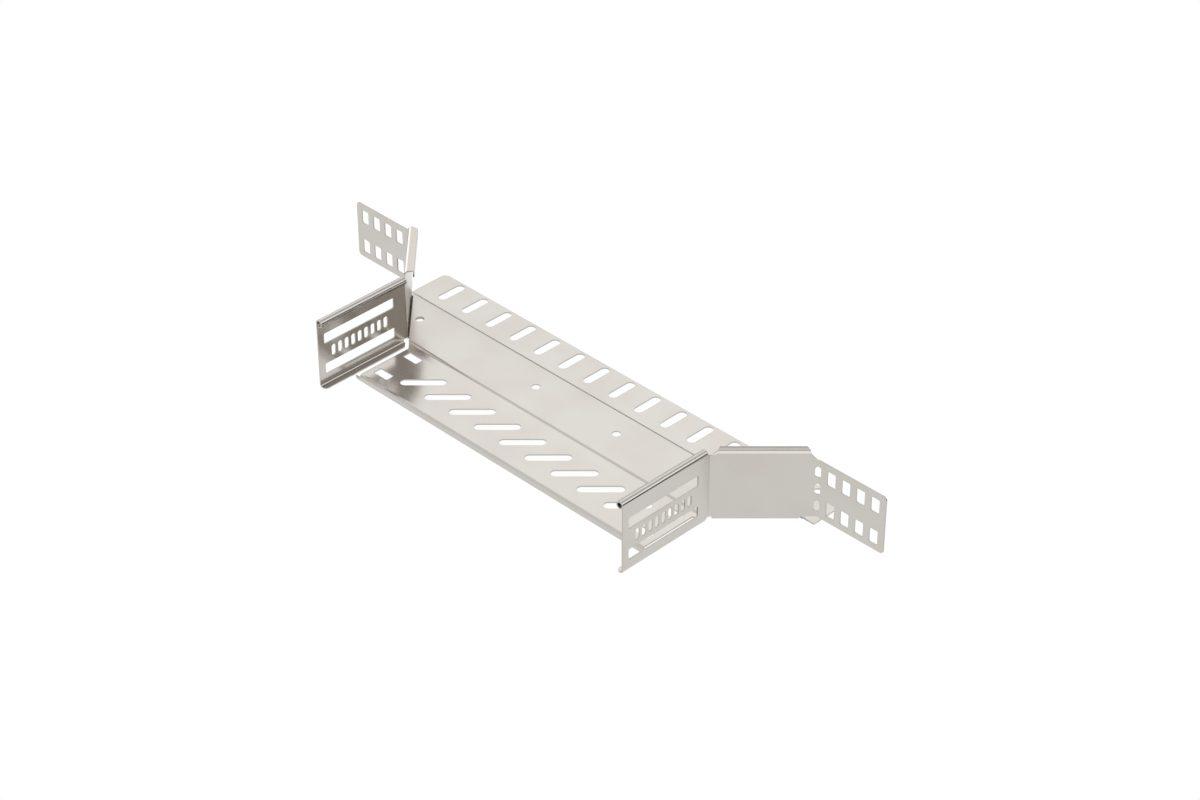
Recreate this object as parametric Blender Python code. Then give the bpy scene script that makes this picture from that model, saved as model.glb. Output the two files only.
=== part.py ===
"""Cable tray branch tee: three folded stainless sheets that open a side branch in a perforated tray.

X runs along the main tray, Y points from the branch back to the main tray, Z is up.
The middle of the footprint is the origin, and the lowest faces lie in Z = 0.
Sizes are in metres. Each sheet is drawn as its middle surface, then given its thickness and punched.
"""

from math import cos, pi, radians, sin, sqrt, tan

import bmesh
import bpy
from mathutils import Matrix, Vector

MM = 0.001

# Sheet and bends; a bend's radius is the one of the sheet's middle
SHEET = 1.0 * MM
HALF = SHEET / 2
BEND = 1.5 * MM + HALF
STEP_BEND = 0.8 * MM + HALF
SEAM_GAP = 0.3 * MM
FACET = radians(15)

# Plan; each Y is counted from the outer faces of the wings
BRANCH_WIDTH = 296.0 * MM
FRONT_REACH = 130.2 * MM
REAR_REACH = 33.0 * MM
CORNER_DEPTH = 49.5 * MM
WING_LENGTH = 57.2 * MM
WING_Y = (FRONT_REACH - REAR_REACH) / 2
PLATE_PLANE = BRANCH_WIDTH / 2 + CORNER_DEPTH

# Heights
SIDE_HEIGHT = 60.0 * MM
BRANCH_RISE = 5.5 * MM
REAR_TOP = SHEET
MID_TOP = REAR_TOP + BRANCH_RISE
FLANGE_TOP = MID_TOP - SHEET - SEAM_GAP
BEND_START = FLANGE_TOP - HALF + BEND
SIDE_TOP = REAR_TOP + SIDE_HEIGHT
WING_BOTTOM = BEND_START + 0.4 * MM
WING_TOP = SIDE_TOP - 8.3 * MM

# Wall
BEAD_DIAMETER = 6.0 * MM
BEAD_TURN = radians(285)
BEAD_SETBACK = 2.5 * MM
WALL_FLANGE = 6.0 * MM
WALL_FLANGE_SETBACK = 3.4 * MM
WALL_FLANGE_SLANT = 1.0
NOTCH_DEPTH = 4.0 * MM

# Corner plate
HOOK_DROP = 1.0 * MM
HOOK_WIDTH = 7.1 * MM
HOOK_LIP = 5.4 * MM
HOOK_ANGLE = radians(98)
HOOK_BEND = 1.6 * MM + HALF
HOOK_LIP_BEND = 0.4 * MM + HALF
HOOK_SETBACKS = (4.0 * MM, 5.2 * MM)
HOOK_SLANT = 0.4
SEAM_WIDTH = 14.0 * MM
SEAM_SETBACKS = (1.8 * MM, 11.0 * MM)
SEAM_SLANT = 1.2

# Floor sheet
FRONT_HALF_WIDTH = BRANCH_WIDTH / 2 - 9.5 * MM
LIP_Y = -CORNER_DEPTH - 0.65 * (FRONT_REACH - CORNER_DEPTH)
LIP_EAR = 4.5 * MM
LIP_EAR_DROP = 0.3 * MM
RELIEF = 0.5 * MM
STEP_Y = -CORNER_DEPTH - 1.0 * MM
MITRE_EDGE_INSET = 2.1 * MM
RAMP_ANGLE = radians(45)
REAR_HALF_WIDTH = PLATE_PLANE - 1.0 * MM
EAR_Y = -0.7 * MM

# Free corners of the blanks
REAR_CORNER = 5.0 * MM
EAR_CORNER = 0.6 * MM
LIP_CORNER = 2.0 * MM
WING_CORNER = 3.0 * MM
FLANGE_CORNER = 3.0 * MM

# Openings of the floor sheet
PITCH = 25.0 * MM
SLOT_WIDTH = 7.0 * MM
REAR_SLOT_LENGTH = 23.5 * MM
REAR_SLOT_Y = REAR_REACH - 14.0 * MM
BRANCH_SLOT_SPAN = 0.484 * (STEP_Y - LIP_Y)
BRANCH_SLOT_Y = LIP_Y + 0.491 * (STEP_Y - LIP_Y)
REAR_SLOT_MARGIN = 15.0 * MM
WINDOW = (13.4 * MM, 6.9 * MM, 0.5 * MM)
WINDOW_X = FRONT_HALF_WIDTH - 11.3 * MM
WINDOW_YS = (STEP_Y - 11.3 * MM, LIP_Y + 12.5 * MM)
BOLT_HOLE = 6.3 * MM
BOLT_HOLE_Y = -CORNER_DEPTH + 23.3 * MM
BOLT_HOLE_INSET = 8.5 * MM
INNER_BOLT_HOLE_X = 39.4 * MM

# Openings of the side sheets
LOW_ROW = WING_BOTTOM + 0.221 * (WING_TOP - WING_BOTTOM)
HIGH_ROW = WING_TOP - 0.232 * (WING_TOP - WING_BOTTOM)
WALL_SLOT_HEIGHT = 8.3 * MM
WALL_SLOT_FRONT = 5.5 * MM
WALL_SLOT_REAR = 11.2 * MM
WALL_SLOT_CORNER = 1.0 * MM
COMB_PITCH = 6.0 * MM
COMB_SLOT_WIDTH = 3.7 * MM
COMB_SLOT_LENGTH = 0.54 * (HIGH_ROW - LOW_ROW - WALL_SLOT_HEIGHT)
WING_HOLE = (7.0 * MM, 11.0 * MM, 0.8 * MM)
WING_HOLE_PITCH = 12.4 * MM
WING_HOLE_START = 11.1 * MM
FOLD_SLOT_COUNT = 3
FOLD_SLOT = (8.6 * MM, 4.4 * MM)
FOLD_SLOT_SHARE = 0.3

X = Vector((1, 0, 0))
Y = Vector((0, 1, 0))
Z = Vector((0, 0, 1))


def clear_scene():
    for item in list(bpy.data.objects):
        bpy.data.objects.remove(item, do_unlink=True)


def at(x, y, z):
    """A point whose Y is counted from the wing faces."""
    return Vector((x, WING_Y + y, z))


def fold(bm, edge, away, side, angle, radius, slants=(0.0, 0.0), slant_way=None):
    """Rolls the sheet off a free edge towards side; gives the far edge and its two directions.

    An edge is a pair of vertices. The slants draw its two ends in, per length gained along
    slant_way, which is side unless given.
    """
    start, stop = edge
    along = (stop.co - start.co).normalized()
    axis = away.cross(side)
    steps = max(2, round(angle / FACET))
    near = edge
    for step in range(1, steps + 1):
        turned = Matrix.Rotation(angle * step / steps, 3, axis) @ side
        shift = (side - turned) * radius
        gained = shift.dot(slant_way or side)
        far = (
            bm.verts.new(start.co + shift + along * slants[0] * gained),
            bm.verts.new(stop.co + shift - along * slants[1] * gained),
        )
        bm.faces.new((near[0], near[1], far[1], far[0]))
        near = far
    turn = Matrix.Rotation(angle, 3, axis)
    return near, turn @ away, turn @ side


def flat(bm, edge, away, length, slants=(0.0, 0.0)):
    """Draws a flat out of a free edge and gives its far edge; the slants draw its two ends in."""
    start, stop = edge
    along = (stop.co - start.co).normalized()
    far = (
        bm.verts.new(start.co + away * length + along * slants[0] * length),
        bm.verts.new(stop.co + away * length - along * slants[1] * length),
    )
    bm.faces.new((start, stop, far[1], far[0]))
    return far


def eared_flat(bm, edge, away, length, ear, setback):
    """A flat with an ear at each end, cut free of the bend before it; gives ear and far corners."""
    start, stop = edge
    along = (stop.co - start.co).normalized()
    outline = ((RELIEF, 0), (RELIEF, RELIEF), (setback, RELIEF), (setback, ear), (length, ear))
    right = [bm.verts.new(stop.co + away * out + along * reach) for out, reach in outline]
    left = [bm.verts.new(start.co + away * out - along * reach) for out, reach in outline]
    bm.faces.new((start, stop, *right, *reversed(left)))
    return (left[3], right[3]), (left[4], right[4])


def round_corners(bm, corners, radius):
    """Rounds free corners of the blank."""
    for corner in corners:
        ways = [(edge.other_vert(corner).co - corner.co).normalized() for edge in corner.link_edges]
        reach = radius / tan(ways[0].angle(ways[1]) / 2)
        bmesh.ops.bevel(
            bm,
            geom=[corner],
            offset=reach,
            offset_type="OFFSET",
            segments=5,
            profile=0.5,
            affect="VERTICES",
        )


def obround(length, width):
    """Outline of a slot with round ends, its long axis first."""
    reach = (length - width) / 2
    radius = width / 2
    turns = [step * FACET - pi / 2 for step in range(round(pi / FACET) + 1)]
    end = [(reach + radius * cos(turn), radius * sin(turn)) for turn in turns]
    return end + [(-u, -v) for u, v in end]


def disc(diameter):
    turns = [step * FACET for step in range(round(2 * pi / FACET))]
    return [(diameter / 2 * cos(turn), diameter / 2 * sin(turn)) for turn in turns]


def rectangle(width, height, corner):
    """Outline of a rectangle with rounded corners."""
    turns = [step * 2 * FACET for step in range(round(pi / 4 / FACET) + 1)]
    outline = []
    for quarter, (u, v) in enumerate(((1, 1), (-1, 1), (-1, -1), (1, -1))):
        middle = (u * (width / 2 - corner), v * (height / 2 - corner))
        for turn in turns:
            angle = quarter * pi / 2 + turn
            outline.append((middle[0] + corner * cos(angle), middle[1] + corner * sin(angle)))
    return outline


def row(count, pitch):
    """Places of a row of openings about its middle."""
    return [(index - (count - 1) / 2) * pitch for index in range(count)]


def punch(bm, outline, centre, along, through):
    """Adds the prism that cuts an outline through the sheet; along is the outline's first axis."""
    across = through.cross(along)
    depth = 4 * SHEET
    ring = [bm.verts.new(centre + along * u + across * v - through * depth) for u, v in outline]
    base = bm.faces.new(ring)
    grown = bmesh.ops.extrude_face_region(bm, geom=[base])["geom"]
    moved = [item for item in grown if isinstance(item, bmesh.types.BMVert)]
    bmesh.ops.translate(bm, verts=moved, vec=through * 2 * depth)


def stainless():
    steel = bpy.data.materials.new("stainless_sheet")
    steel.use_nodes = True
    surface = steel.node_tree.nodes["Principled BSDF"]
    surface.inputs["Base Color"].default_value = (0.62, 0.60, 0.57, 1)
    surface.inputs["Metallic"].default_value = 1.0
    surface.inputs["Roughness"].default_value = 0.28
    return steel


def add_object(name, bm):
    bmesh.ops.recalc_face_normals(bm, faces=bm.faces)
    mesh = bpy.data.meshes.new(name)
    bm.to_mesh(mesh)
    bm.free()
    made = bpy.data.objects.new(name, mesh)
    bpy.context.scene.collection.objects.link(made)
    return made


def make_sheet(name, drawn, punches):
    """Gives a drawn middle surface its thickness and cuts its openings."""
    sheet = add_object(name, drawn)
    sheet.data.materials.append(stainless())
    cutter = add_object(name + "_punches", punches)
    cutter.hide_render = True
    cutter.display_type = "WIRE"
    thickness = sheet.modifiers.new("thickness", "SOLIDIFY")
    thickness.thickness = SHEET
    thickness.offset = 0
    thickness.use_even_offset = True
    openings = sheet.modifiers.new("openings", "BOOLEAN")
    openings.operation = "DIFFERENCE"
    openings.solver = "EXACT"
    openings.object = cutter
    return sheet


def side_sheet(name, hand):
    """Wall, corner plate and wing of one side, folded from one blank; hand is 1 towards +X."""
    bm = bmesh.new()
    east = X * hand
    plate_way = (east + Y).normalized()
    plate_in = (Y - east).normalized()
    half_bend = radians(45) / 2
    mitre = HALF * tan(half_bend)
    tangent = BEND * tan(half_bend)
    wall_foot = at(0, mitre - CORNER_DEPTH, 0) + east * (BRANCH_WIDTH / 2 - HALF)
    plate_length = (CORNER_DEPTH + HALF - mitre) * sqrt(2)
    wing_foot = wall_foot + plate_way * plate_length
    wall_length = FRONT_REACH - CORNER_DEPTH + mitre
    bead_radius = (BEAD_DIAMETER - SHEET) / 2
    bead_start = SIDE_TOP - BEAD_DIAMETER / 2
    hook_start = SIDE_TOP - HOOK_DROP - HALF - HOOK_BEND

    def drawn(way, foot, outline):
        return [bm.verts.new(foot + way * run + Z * height) for run, height in outline]

    wall = drawn(
        -Y,
        wall_foot,
        (
            (wall_length, BEND_START),
            (WALL_FLANGE_SETBACK, BEND_START),
            (WALL_FLANGE_SETBACK - WING_BOTTOM + BEND_START, WING_BOTTOM),
            (tangent, WING_BOTTOM),
            (tangent, SIDE_TOP - NOTCH_DEPTH),
            (BEAD_SETBACK, bead_start),
            (wall_length, bead_start),
        ),
    )
    bm.faces.new(wall)

    # Corner plate, set at 45 degrees to the wall
    near, plate_away, _ = fold(bm, wall[3:5], Y, east, radians(45), BEND)
    plate = drawn(
        plate_way,
        wall_foot,
        (
            (SEAM_SETBACKS[0], BEND_START),
            (plate_length - SEAM_SETBACKS[1], BEND_START),
            (plate_length - SEAM_SETBACKS[1] + WING_BOTTOM - BEND_START, WING_BOTTOM),
            (plate_length - tangent, WING_BOTTOM),
            (plate_length - tangent, WING_TOP),
            (plate_length - HOOK_SETBACKS[1], hook_start),
            (HOOK_SETBACKS[0], hook_start),
        ),
    )
    bm.faces.new((near[0], *plate, near[1]))

    # Wing, parallel to the main tray
    edge, away, _ = fold(bm, plate[3:5], plate_way, -plate_in, radians(45), BEND)
    wing = flat(bm, edge, away, WING_LENGTH + mitre - tangent)

    # Rolled bead along the top of the wall
    fold(bm, wall[5:7], Z, -east, BEAD_TURN, bead_radius)

    # Flange under the wall
    edge, away, _ = fold(bm, wall[0:2], -Z, -east, radians(90), BEND)
    width = WALL_FLANGE - HALF - BEND
    wall_flange = flat(bm, edge, away, width, (0.0, WALL_FLANGE_SLANT))

    # Hook over the top of the corner plate
    slants = (HOOK_SLANT, HOOK_SLANT)
    top = HOOK_WIDTH - SHEET - HOOK_BEND - HOOK_LIP_BEND
    edge, away, side = fold(bm, plate[5:7], Z, plate_in, HOOK_ANGLE, HOOK_BEND, slants)
    edge = flat(bm, edge, away, top, slants)
    edge, away, _ = fold(bm, edge, away, side, pi - HOOK_ANGLE, HOOK_LIP_BEND)
    flat(bm, edge, away, HOOK_LIP - HALF - HOOK_LIP_BEND)

    # Flange that is spot-welded under the floor
    slants = (0.0, SEAM_SLANT)
    edge, away, _ = fold(bm, plate[0:2], -Z, plate_in, radians(90), BEND, slants)
    seam_flange = flat(bm, edge, away, SEAM_WIDTH - HALF - BEND, slants)

    round_corners(bm, wing, WING_CORNER)
    round_corners(bm, (*wall_flange, *seam_flange), FLANGE_CORNER)

    # Two long slots and the comb of short ones between them
    punches = bmesh.new()
    slot_length = FRONT_REACH - CORNER_DEPTH - WALL_SLOT_FRONT - WALL_SLOT_REAR
    middle = wall_foot - Y * (wall_length - WALL_SLOT_FRONT - slot_length / 2)
    outline = rectangle(slot_length, WALL_SLOT_HEIGHT, WALL_SLOT_CORNER)
    for level in (LOW_ROW, HIGH_ROW):
        punch(punches, outline, middle + Z * level, Y, east)
    comb = int(slot_length / COMB_PITCH) - 1
    half_way = (LOW_ROW + HIGH_ROW) / 2
    for shift in row(comb, COMB_PITCH):
        outline = obround(COMB_SLOT_LENGTH, COMB_SLOT_WIDTH)
        punch(punches, outline, middle + Y * shift + Z * half_way, Z, east)

    # Rectangular holes of the wing
    room = WING_LENGTH - WING_HOLE_START - WING_HOLE[0] / 2 - 2 * SHEET
    for column in range(int(room / WING_HOLE_PITCH) + 1):
        run = WING_HOLE_START + mitre + column * WING_HOLE_PITCH
        for level in (LOW_ROW, HIGH_ROW):
            punch(punches, rectangle(*WING_HOLE), wing_foot + east * run + Z * level, east, Y)

    # Slots that lighten the fold between plate and wing
    through = (plate_in + Y).normalized()
    for shift in row(FOLD_SLOT_COUNT, FOLD_SLOT_SHARE * (WING_TOP - WING_BOTTOM)):
        punch(punches, obround(*FOLD_SLOT), wing_foot + Z * (half_way + shift), Z, through)

    # Bolt hole of the seam
    bolt = at(0, BOLT_HOLE_Y, FLANGE_TOP) + east * bolt_hole_x()
    punch(punches, disc(BOLT_HOLE), bolt, X, Z)
    return make_sheet(name, bm, punches)


def bolt_hole_x():
    """Where the outer bolt holes lie, in the middle of the seam along the corner plates."""
    return PLATE_PLANE + BOLT_HOLE_Y - BOLT_HOLE_INSET * sqrt(2)


def floor_sheet(name):
    """The floor: a front strip with a lip, a raised middle and a ramp down to the rear strip."""
    bm = bmesh.new()
    middle_level = MID_TOP - HALF
    front_level = FLANGE_TOP - HALF
    step_angle = radians(45)
    step_flat = (SHEET + SEAM_GAP - 2 * STEP_BEND * (1 - cos(step_angle))) / sin(step_angle)
    step_reach = STEP_BEND * sin(step_angle) + step_flat * cos(step_angle) / 2
    step_start = STEP_Y + step_reach
    ramp_start = -BRANCH_RISE - SHEET - (HALF + BEND) * tan(RAMP_ANGLE / 2)
    ramp_flat = (BRANCH_RISE - 2 * BEND * (1 - cos(RAMP_ANGLE))) / sin(RAMP_ANGLE)
    mitre_edge = PLATE_PLANE - MITRE_EDGE_INSET * sqrt(2)

    def mirrored(x, y):
        return bm.verts.new(at(-x, y, middle_level)), bm.verts.new(at(x, y, middle_level))

    front = mirrored(mitre_edge + step_start, step_start)
    rear = mirrored(mitre_edge + ramp_start, ramp_start)
    bm.faces.new((front[0], front[1], rear[1], rear[0]))

    # Step down to the level of the side flanges, cut along the corner plates like the middle
    slants = (1.0, 1.0)
    edge, away, side = fold(bm, front, -Y, -Z, step_angle, STEP_BEND, slants, -Y)
    edge = flat(bm, edge, away, step_flat, (cos(step_angle), cos(step_angle)))
    edge, away, _ = fold(bm, edge, away, -side, step_angle, STEP_BEND, slants, -Y)
    edge = flat(bm, edge, -Y, edge[1].co.x - FRONT_HALF_WIDTH, slants)
    front_end = WING_Y + LIP_Y + HALF + BEND
    edge = flat(bm, edge, -Y, edge[0].co.y - front_end)

    # Lip that stands on the tray's plane
    edge, away, _ = fold(bm, edge, -Y, -Z, radians(90), BEND)
    _, lip = eared_flat(bm, edge, away, front_level - BEND, LIP_EAR, LIP_EAR_DROP)

    # Ramp down to the rear strip, whose ears pass under the wings
    edge, away, side = fold(bm, rear, Y, -Z, RAMP_ANGLE, BEND)
    edge = flat(bm, edge, away, ramp_flat)
    edge, away, _ = fold(bm, edge, away, -side, RAMP_ANGLE, BEND)
    setback = WING_Y + EAR_Y - edge[0].co.y
    ear = REAR_HALF_WIDTH - edge[1].co.x
    ears, corners = eared_flat(bm, edge, away, WING_Y + REAR_REACH - edge[0].co.y, ear, setback)

    round_corners(bm, lip, LIP_CORNER)
    round_corners(bm, ears, EAR_CORNER)
    round_corners(bm, corners, REAR_CORNER)

    # Slots of the rear strip
    punches = bmesh.new()
    outline = obround(REAR_SLOT_LENGTH, SLOT_WIDTH)
    count = 2 * int((REAR_HALF_WIDTH - REAR_SLOT_MARGIN) / PITCH) + 1
    for x in row(count, PITCH):
        punch(punches, outline, at(x, REAR_SLOT_Y, REAR_TOP - HALF), Y, Z)

    # Slanting slots of the front strip, between the windows
    outline = obround((BRANCH_SLOT_SPAN - SLOT_WIDTH) * sqrt(2) + SLOT_WIDTH, SLOT_WIDTH)
    room = WINDOW_X - WINDOW[0] / 2 - BRANCH_SLOT_SPAN / 2 - 2 * SHEET
    for x in row(2 * int(room / PITCH) + 1, PITCH):
        punch(punches, outline, at(x, BRANCH_SLOT_Y, front_level), (X + Y).normalized(), Z)
    for x in (-WINDOW_X, WINDOW_X):
        for y in WINDOW_YS:
            punch(punches, rectangle(*WINDOW), at(x, y, front_level), X, Z)

    # Bolt holes of the middle
    for x in (INNER_BOLT_HOLE_X, bolt_hole_x()):
        for hand in (-1, 1):
            punch(punches, disc(BOLT_HOLE), at(x * hand, BOLT_HOLE_Y, middle_level), X, Z)
    return make_sheet(name, bm, punches)


clear_scene()
floor_sheet("floor_plate")
side_sheet("side_left", -1)
side_sheet("side_right", 1)
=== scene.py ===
# %% [markdown]
# # A cable tray branch tee in stainless sheet
# The real part opens a side branch in a perforated cable tray. It is three pieces of 1 mm sheet,
# punched flat and then folded. This lesson makes each one in the same two steps: a flat blank is
# outlined and perforated, and one formula folds every point of it at once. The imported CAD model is
# loaded first as a fixed frame, so each piece lands where its solid lies.

# %% Load the frame
from math import cos, pi, radians, sin, sqrt, tan

import bpy
import numpy as np
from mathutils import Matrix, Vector
from mathutils.geometry import delaunay_2d_cdt


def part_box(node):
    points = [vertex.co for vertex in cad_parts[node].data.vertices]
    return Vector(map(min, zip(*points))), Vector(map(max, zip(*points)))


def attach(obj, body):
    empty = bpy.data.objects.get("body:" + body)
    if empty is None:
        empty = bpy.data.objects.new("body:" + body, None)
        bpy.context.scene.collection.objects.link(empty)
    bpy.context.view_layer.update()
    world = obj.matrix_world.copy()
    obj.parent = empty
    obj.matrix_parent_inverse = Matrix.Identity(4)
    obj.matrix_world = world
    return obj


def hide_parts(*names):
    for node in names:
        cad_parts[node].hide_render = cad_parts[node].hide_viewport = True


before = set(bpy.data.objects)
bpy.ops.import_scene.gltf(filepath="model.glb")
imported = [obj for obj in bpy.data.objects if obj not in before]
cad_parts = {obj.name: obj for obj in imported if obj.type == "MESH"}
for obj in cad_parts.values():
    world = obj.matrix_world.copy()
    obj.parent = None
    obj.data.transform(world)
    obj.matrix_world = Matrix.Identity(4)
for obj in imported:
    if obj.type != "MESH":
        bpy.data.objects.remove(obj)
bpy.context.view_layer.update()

scene = bpy.context.scene
MM = 0.001
print("nodes:", ", ".join(sorted(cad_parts)))

# %% [markdown]
# ## Sizes
# A folded part is ruled by a few sizes: the sheet's thickness, the bend radius and the plan. They
# are the CAD source's own values, in metres. A bend's radius is taken at the middle of the sheet, so
# it is the inner radius plus half the thickness. Every Y is counted from the front faces of the two
# fixing wings, and WING_Y moves them to the middle of the footprint.

# %% Sheet, plan and heights
SHEET = 1.0 * MM
HALF = SHEET / 2
BEND = 1.5 * MM + HALF
STEP_BEND = 0.8 * MM + HALF
SEAM_GAP = 0.3 * MM
BRANCH_WIDTH = 296.0 * MM
FRONT_REACH = 130.2 * MM
REAR_REACH = 33.0 * MM
CORNER_DEPTH = 49.5 * MM
WING_LENGTH = 57.2 * MM
WING_Y = (FRONT_REACH - REAR_REACH) / 2
PLATE_PLANE = BRANCH_WIDTH / 2 + CORNER_DEPTH
BRANCH_RISE = 5.5 * MM
MID_TOP = SHEET + BRANCH_RISE
FLANGE_TOP = MID_TOP - SHEET - SEAM_GAP
BEND_START = FLANGE_TOP - HALF + BEND
SIDE_HEIGHT = 60.0 * MM
SIDE_TOP = SHEET + SIDE_HEIGHT
WING_SETBACKS = (0.4 * MM, 8.3 * MM)
WING_BOTTOM = BEND_START + WING_SETBACKS[0]
WING_TOP = SIDE_TOP - WING_SETBACKS[1]
WING_HEIGHT = WING_TOP - WING_BOTTOM
print(f"walls {BRANCH_WIDTH / MM:.0f} mm apart, {SIDE_TOP / MM:.0f} mm high")

# %% [markdown]
# ## Folding as arithmetic
# A press brake folds the real sheet along straight lines. Blender's Simple Deform modifier could
# bend a flat mesh, but only about one line at a time, and each of these sheets has five bends or
# more. A folded sheet keeps its length: a flat runs straight, and a bend is an arc. So one function
# can walk a whole profile of flats and bends, for thousands of points at once, because each stretch
# adds its own share, and to a point that lies before it, it adds nothing.

# %% Walk along a profile
def walk(chain, distance):
    """Forward and sideways reach, and the heading, after a distance along flats and bends.

    A flat of length d adds d times (cos h, sin h) at heading h. A bend of radius r adds
    r (sin(h + a) - sin h) forwards and r (cos h - cos(h + a)) sideways once it has turned by a.
    """
    forward, sideways, heading = (np.zeros_like(distance) for _ in range(3))
    start, course = 0.0, 0.0
    for length, radius in chain:
        done = np.clip(distance - start, 0.0, length)
        if radius is None:
            forward += done * cos(course)
            sideways += done * sin(course)
        else:
            ahead = course + done / radius
            forward += radius * (np.sin(ahead) - sin(course))
            sideways += radius * (cos(course) - np.cos(ahead))
            heading += done / radius
            course += length / radius
        start += length
    return forward, sideways, heading


quarter = walk([(10 * MM, None), (BEND * pi / 2, BEND)], np.array([10 * MM + BEND * pi / 2]))
print(f"10 mm and a right-angled bend reach {quarter[0][0] / MM:.1f} mm forward")

# %% [markdown]
# A bend is written as its angle and radius, and the profile needs its length: angle times radius.
# The mesh also needs rows of points across it, close enough that the arc looks round.

# %% Bends and their creases
CREASE_STEP = radians(7.5)


def bend(angle, radius):
    """One bend of a profile: length |angle| radius; a negative angle turns to the other side."""
    return abs(angle) * radius, radius if angle > 0 else -radius


def creases(start, angle, radius):
    """Distances along the profile at which a bend gets a row of points, its two ends included."""
    return start + np.linspace(0, abs(angle) * radius, round(abs(angle) / CREASE_STEP) + 1)


print("points across a right-angled bend:", len(creases(0, pi / 2, BEND)))

# %% [markdown]
# ## Outlines
# A blank is a closed outline with holes. Boolean modifiers could cut them one by one out of a folded
# sheet. Drawn in the flat, as the punching machine needs them, they are plain lists of points, in
# metres. The punches are few: slots with round ends, discs, and rectangles with rounded corners.

# %% Punch outlines
ARC_STEP = radians(9)


def arc(centre, radius, start, stop):
    """Points on a circle, from one angle to another: centre + radius (cos turn, sin turn)."""
    turns = np.linspace(start, stop, max(2, round(abs(stop - start) / ARC_STEP) + 1))
    return np.asarray(centre) + radius * np.column_stack((np.cos(turns), np.sin(turns)))


def slot(length, width):
    """A slot with round ends, lying along the first axis: two half circles."""
    reach = (length - width) / 2
    ends = [arc((hand * reach, 0), width / 2, turn - pi / 2, turn + pi / 2)
            for hand, turn in ((1, 0), (-1, pi))]
    return np.vstack(ends)


def disc(diameter):
    """A circle; its first point isn't repeated at the end."""
    return arc((0, 0), diameter / 2, 0, 2 * pi)[:-1]


def rectangle(width, height, corner):
    """A rectangle whose corners are quarter circles, each centred one radius inside both sides."""
    quarters = [arc((u * (width / 2 - corner), v * (height / 2 - corner)), corner, turn, turn + pi / 2)
                for u, v, turn in ((1, 1, 0), (-1, 1, pi / 2), (-1, -1, pi), (1, -1, 1.5 * pi))]
    return np.vstack(quarters)


print("a slot is drawn with", len(slot(23.5 * MM, 7 * MM)), "points")

# %% [markdown]
# Punches are turned and set in rows, and the corners of a blank are cut round. Three points are
# enough to place such an arc: the corner itself and its two neighbours.

# %% Turns, rows and rounded corners
def turned(outline, angle):
    """The outline turned about its middle: (u cos a - v sin a, u sin a + v cos a)."""
    return outline @ np.array([[cos(angle), sin(angle)], [-sin(angle), cos(angle)]])


def row(count, pitch):
    """Places of a row of openings about its middle: (index - (count - 1) / 2) times the pitch."""
    return (np.arange(count) - (count - 1) / 2) * pitch


def rounded(before, corner, after, radius):
    """The corner of an outline as an arc: it leaves both sides at radius / tan(half the corner)."""
    corner = np.asarray(corner, float)
    ways = [np.asarray(point, float) - corner for point in (before, after)]
    ways = [way / np.linalg.norm(way) for way in ways]
    half = np.arccos(np.clip(ways[0] @ ways[1], -1, 1)) / 2
    middle = corner + (ways[0] + ways[1]) / np.linalg.norm(ways[0] + ways[1]) * radius / sin(half)
    ends = [corner + way * radius / tan(half) - middle for way in ways]
    start, stop = (np.arctan2(end[1], end[0]) for end in ends)
    stop = start + (stop - start + pi) % (2 * pi) - pi
    return arc(middle, radius, start, stop)


print("a square corner is drawn with", len(rounded((1, 0), (0, 0), (0, 1), 0.1)), "points")

# %% [markdown]
# ## From blank to solid
# A boolean cut leaves long triangles that crack when a sheet is bent. Here a triangulation fills the
# flat blank. It keeps given lines, and a bend's rows of points are such lines, so the triangles
# fold where the sheet does. It fills the holes as well, and a count of crossings takes those
# triangles out again.

# %% Fill the blank
SAME_POINT = 1e-4  # in millimetres, as the triangulation's points are
WHOLE_HULL = 0  # the triangulation's word for keeping every triangle


def odd_crossings(places, starts, stops):
    """True where a ray towards +v from a place crosses the outlines an odd number of times.

    An edge is crossed if its ends lie to both sides of u, and its height there is above v.
    """
    u, v = places[:, :1], places[:, 1:]
    spans = (starts[:, 0] > u) != (stops[:, 0] > u)
    run = np.where(stops[:, 0] == starts[:, 0], 1.0, stops[:, 0] - starts[:, 0])
    height = starts[:, 1] + (u - starts[:, 0]) / run * (stops[:, 1] - starts[:, 1])
    return (spans & (height > v)).sum(axis=1) % 2 == 1


def filled(outline, holes, lines):
    """Points and triangles of a blank. Lines are pairs of points that edges have to follow.

    The triangulation works in millimetres and fills the whole hull. A triangle is kept if a ray
    from its middle crosses the outlines an odd number of times.
    """
    loops = [outline, *holes]
    starts = np.vstack(loops) / MM
    stops = np.vstack([np.roll(loop, -1, axis=0) for loop in loops]) / MM
    ends = np.vstack([starts, np.asarray(lines, float).reshape(-1, 2) / MM])
    firsts = np.cumsum([0] + [len(loop) for loop in loops])
    edges = [np.column_stack((np.arange(first, last), np.roll(np.arange(first, last), -1)))
             for first, last in zip(firsts, firsts[1:])]
    edges.append(np.arange(firsts[-1], len(ends)).reshape(-1, 2))
    points, _, faces, *_ = delaunay_2d_cdt(ends.tolist(), np.vstack(edges).tolist(), [],
                                           WHOLE_HULL, SAME_POINT)
    points, faces = np.array(points), np.array(faces)
    kept = faces[odd_crossings(points[faces].mean(axis=1), starts, stops)]
    used, index = np.unique(kept, return_inverse=True)
    return points[used] * MM, index.reshape(-1, 3)


washer = filled(disc(10 * MM), [disc(4 * MM)], [])
print("a washer is filled with", len(washer[1]), "triangles")

# %% [markdown]
# An edge of only one triangle lies on the boundary, round the blank or round a hole. There the
# sheet ends in a rim, which needs to know which way is out.

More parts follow.
